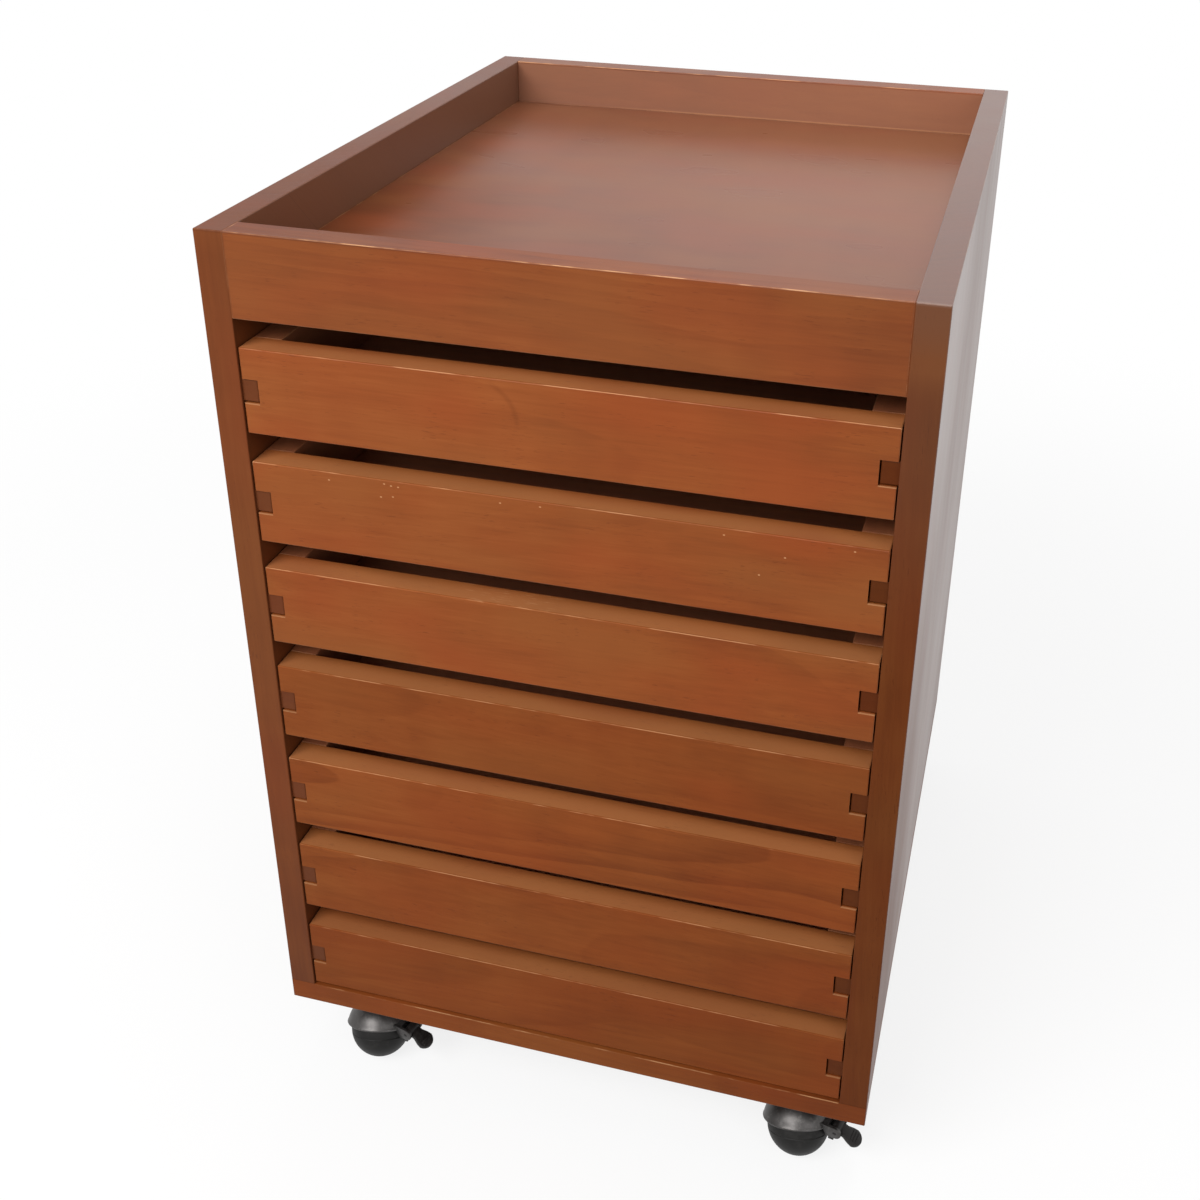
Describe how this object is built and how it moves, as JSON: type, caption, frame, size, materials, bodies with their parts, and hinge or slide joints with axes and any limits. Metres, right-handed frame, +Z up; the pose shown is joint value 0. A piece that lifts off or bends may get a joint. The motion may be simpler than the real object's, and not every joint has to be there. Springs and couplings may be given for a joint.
{
  "type": "rolling drawer cabinet",
  "caption": "Upright wooden cabinet with a stack of shallow sliding drawers on wooden runners, an open tray on top and swivelling ball casters with brake levers below.",
  "frame": {"origin": "on the floor under the middle of the cabinet", "axes": "+Z up, the drawer fronts face -Y, +X to the right of someone who stands in front of it"},
  "size_m": [0.416, 0.494, 0.6446],
  "materials": {
    "stained_wood": "reddish brown stain under satin lacquer, solid boards",
    "stained_panel": "the same stain on thin panels, duller",
    "dark_metal": "dark grey, semi-gloss",
    "black_plastic": "black, satin moulded",
    "screw_steel": "zinc plated, for the screw heads"
  },
  "bodies": {
    "carcass": {"bottom_board": "stained_wood", "left_side_board": "stained_wood", "right_side_board": "stained_wood", "tray_front_board": "stained_wood", "tray_back_board": "stained_wood", "tray_floor": "stained_wood", "back_panel": "stained_panel", "caster_front_left_plate": "dark_metal", "caster_front_right_plate": "dark_metal", "caster_rear_left_plate": "dark_metal", "caster_rear_right_plate": "dark_metal"},
    "drawer_1": {"drawer_1_front": "stained_wood", "drawer_1_left_side": "stained_wood", "drawer_1_right_side": "stained_wood", "drawer_1_back": "stained_wood", "drawer_1_bottom": "stained_panel"},
    "drawer_2": {"drawer_2_front": "stained_wood", "drawer_2_left_side": "stained_wood", "drawer_2_right_side": "stained_wood", "drawer_2_back": "stained_wood", "drawer_2_bottom": "stained_panel"},
    "drawer_3": {"drawer_3_front": "stained_wood", "drawer_3_left_side": "stained_wood", "drawer_3_right_side": "stained_wood", "drawer_3_back": "stained_wood", "drawer_3_bottom": "stained_panel"},
    "drawer_4": {"drawer_4_front": "stained_wood", "drawer_4_left_side": "stained_wood", "drawer_4_right_side": "stained_wood", "drawer_4_back": "stained_wood", "drawer_4_bottom": "stained_panel"},
    "drawer_5": {"drawer_5_front": "stained_wood", "drawer_5_left_side": "stained_wood", "drawer_5_right_side": "stained_wood", "drawer_5_back": "stained_wood", "drawer_5_bottom": "stained_panel"},
    "drawer_6": {"drawer_6_front": "stained_wood", "drawer_6_left_side": "stained_wood", "drawer_6_right_side": "stained_wood", "drawer_6_back": "stained_wood", "drawer_6_bottom": "stained_panel"},
    "drawer_7": {"drawer_7_front": "stained_wood", "drawer_7_left_side": "stained_wood", "drawer_7_right_side": "stained_wood", "drawer_7_back": "stained_wood", "drawer_7_bottom": "stained_panel"},
    "caster_front_left_swivel": {"caster_front_left_hood": "dark_metal"},
    "caster_front_left_wheel": {"caster_front_left_ball": "black_plastic"},
    "caster_front_left_brake": {"caster_front_left_brake_lever": "black_plastic"},
    "caster_front_right_swivel": {"caster_front_right_hood": "dark_metal"},
    "caster_front_right_wheel": {"caster_front_right_ball": "black_plastic"},
    "caster_front_right_brake": {"caster_front_right_brake_lever": "black_plastic"},
    "caster_rear_left_swivel": {"caster_rear_left_hood": "dark_metal"},
    "caster_rear_left_wheel": {"caster_rear_left_ball": "black_plastic"},
    "caster_rear_right_swivel": {"caster_rear_right_hood": "dark_metal"},
    "caster_rear_right_wheel": {"caster_rear_right_ball": "black_plastic"}
  },
  "joints": [
    {"name": "drawer_1_slide", "type": "slide", "parent": "carcass", "child": "drawer_1", "axis": [0, -1, 0], "range_m": [0, 0.35]},
    {"name": "drawer_2_slide", "type": "slide", "parent": "carcass", "child": "drawer_2", "axis": [0, -1, 0], "range_m": [0, 0.35]},
    {"name": "drawer_3_slide", "type": "slide", "parent": "carcass", "child": "drawer_3", "axis": [0, -1, 0], "range_m": [0, 0.35]},
    {"name": "drawer_4_slide", "type": "slide", "parent": "carcass", "child": "drawer_4", "axis": [0, -1, 0], "range_m": [0, 0.35]},
    {"name": "drawer_5_slide", "type": "slide", "parent": "carcass", "child": "drawer_5", "axis": [0, -1, 0], "range_m": [0, 0.35]},
    {"name": "drawer_6_slide", "type": "slide", "parent": "carcass", "child": "drawer_6", "axis": [0, -1, 0], "range_m": [0, 0.35]},
    {"name": "drawer_7_slide", "type": "slide", "parent": "carcass", "child": "drawer_7", "axis": [0, -1, 0], "range_m": [0, 0.35]},
    {"name": "caster_front_left_turn", "type": "hinge", "parent": "carcass", "child": "caster_front_left_swivel", "pos_m": [-0.158, -0.208, 0.066], "axis": [0, 0, 1], "continuous": true},
    {"name": "caster_front_left_roll", "type": "hinge", "parent": "caster_front_left_swivel", "child": "caster_front_left_wheel", "pos_m": [-0.15553, -0.21872, 0.0217], "axis": [-0.1021, 0.4423, 0.891], "continuous": true},
    {"name": "caster_front_left_brake_press", "type": "hinge", "parent": "caster_front_left_swivel", "child": "caster_front_left_brake", "pos_m": [-0.12776, -0.22513, 0.0333], "axis": [0.225, 0.9744, 0], "range_deg": [0, 8]},
    {"name": "caster_front_right_turn", "type": "hinge", "parent": "carcass", "child": "caster_front_right_swivel", "pos_m": [0.158, -0.208, 0.066], "axis": [0, 0, 1], "continuous": true},
    {"name": "caster_front_right_roll", "type": "hinge", "parent": "caster_front_right_swivel", "child": "caster_front_right_wheel", "pos_m": [0.16085, -0.21863, 0.0217], "axis": [-0.1175, 0.4385, 0.891], "continuous": true},
    {"name": "caster_front_right_brake_press", "type": "hinge", "parent": "caster_front_right_swivel", "child": "caster_front_right_brake", "pos_m": [0.18882, -0.22406, 0.0333], "axis": [0.1908, 0.9816, 0], "range_deg": [0, 8]},
    {"name": "caster_rear_left_turn", "type": "hinge", "parent": "carcass", "child": "caster_rear_left_swivel", "pos_m": [-0.158, 0.208, 0.066], "axis": [0, 0, 1], "continuous": true},
    {"name": "caster_rear_left_roll", "type": "hinge", "parent": "caster_rear_left_swivel", "child": "caster_rear_left_wheel", "pos_m": [-0.15534, 0.19733, 0.0217], "axis": [-0.1098, 0.4405, 0.891], "continuous": true},
    {"name": "caster_rear_right_turn", "type": "hinge", "parent": "carcass", "child": "caster_rear_right_swivel", "pos_m": [0.158, 0.208, 0.066], "axis": [0, 0, 1], "continuous": true},
    {"name": "caster_rear_right_roll", "type": "hinge", "parent": "caster_rear_right_swivel", "child": "caster_rear_right_wheel", "pos_m": [0.15628, 0.19714, 0.0217], "axis": [0.071, 0.4484, 0.891], "continuous": true}
  ]
}
